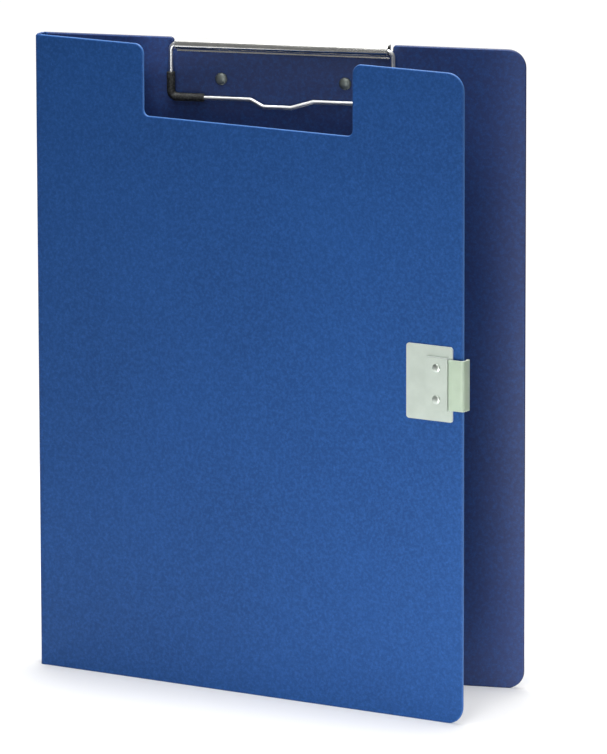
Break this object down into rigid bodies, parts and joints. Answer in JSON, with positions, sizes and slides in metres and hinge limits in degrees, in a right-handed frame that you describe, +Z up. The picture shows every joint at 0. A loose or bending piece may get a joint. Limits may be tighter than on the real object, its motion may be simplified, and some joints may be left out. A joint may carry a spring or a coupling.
{
  "type": "folding clipboard with wire clip",
  "caption": "Folding clipboard: rear board with sprung wire bail in a rolled metal bar, narrow spine and notched front cover with a catch strap at its free edge.",
  "frame": {"origin": "middle of the rear board's lower edge, halfway through its thickness, on the flat that the board stands on", "axes": "+Z up along the fold, +X along the rear board from the fold to its free edge, -Y towards the cover and the viewer"},
  "size_m": [0.2472, 0.0843, 0.32],
  "materials": {
    "board_blue": "fine leather-like grain, matte",
    "fold_blue": "same sheet, pressed smooth at the fold",
    "bright_sheet": "bright plated sheet steel",
    "bright_wire": "bright plated spring wire",
    "black_rubber": "soft matte rubber",
    "dark_rivet": "darkened steel dome",
    "pale_plate": "pale stone grey, slight sheen",
    "pale_strap": "milky pale green soft plastic",
    "pale_rivet": "satin dome",
    "washer_steel": "plain plated washer"
  },
  "bodies": {
    "rear": {"rear_board": "board_blue", "clip_plate": "bright_sheet", "left_clip_rivet": "dark_rivet", "right_clip_rivet": "dark_rivet"},
    "bail": {"wire_bail": "bright_wire", "left_sleeve": "black_rubber", "right_sleeve": "black_rubber"},
    "spine": {"spine_panel": "board_blue", "rear_fold_strip": "fold_blue", "front_fold_strip": "fold_blue"},
    "cover": {"front_cover": "board_blue", "clasp_plate": "pale_plate", "strap_root": "pale_strap", "upper_clasp_rivet": "pale_rivet", "lower_clasp_rivet": "pale_rivet", "upper_clasp_washer": "washer_steel", "lower_clasp_washer": "washer_steel"},
    "hook": {"strap_hook": "pale_strap"}
  },
  "joints": [
    {"name": "rear_fold", "type": "hinge", "parent": "rear", "child": "spine", "pos_m": [-0.1225, 0, 0.16], "axis": [0, 0, -1], "range_deg": [-8.5, 171.5]},
    {"name": "cover_fold", "type": "hinge", "parent": "spine", "child": "cover", "pos_m": [-0.12368, -0.00791, 0.16], "axis": [0, 0, -1], "range_deg": [-8.5, 171.5]},
    {"name": "bail_pivot", "type": "hinge", "parent": "rear", "child": "bail", "pos_m": [0, -0.00365, 0.3172], "axis": [-1, 0, 0], "range_deg": [0, 100], "stiffness_Nm_per_rad": 0.02},
    {"name": "strap_flex", "type": "hinge", "parent": "cover", "child": "hook", "pos_m": [0.10327, -0.0796, 0.168], "axis": [0, 0, 1], "range_deg": [-30, 0], "stiffness_Nm_per_rad": 0.005}
  ],
  "couplings": [
    {"joint": "cover_fold", "follows": "rear_fold", "ratio": 1}
  ]
}
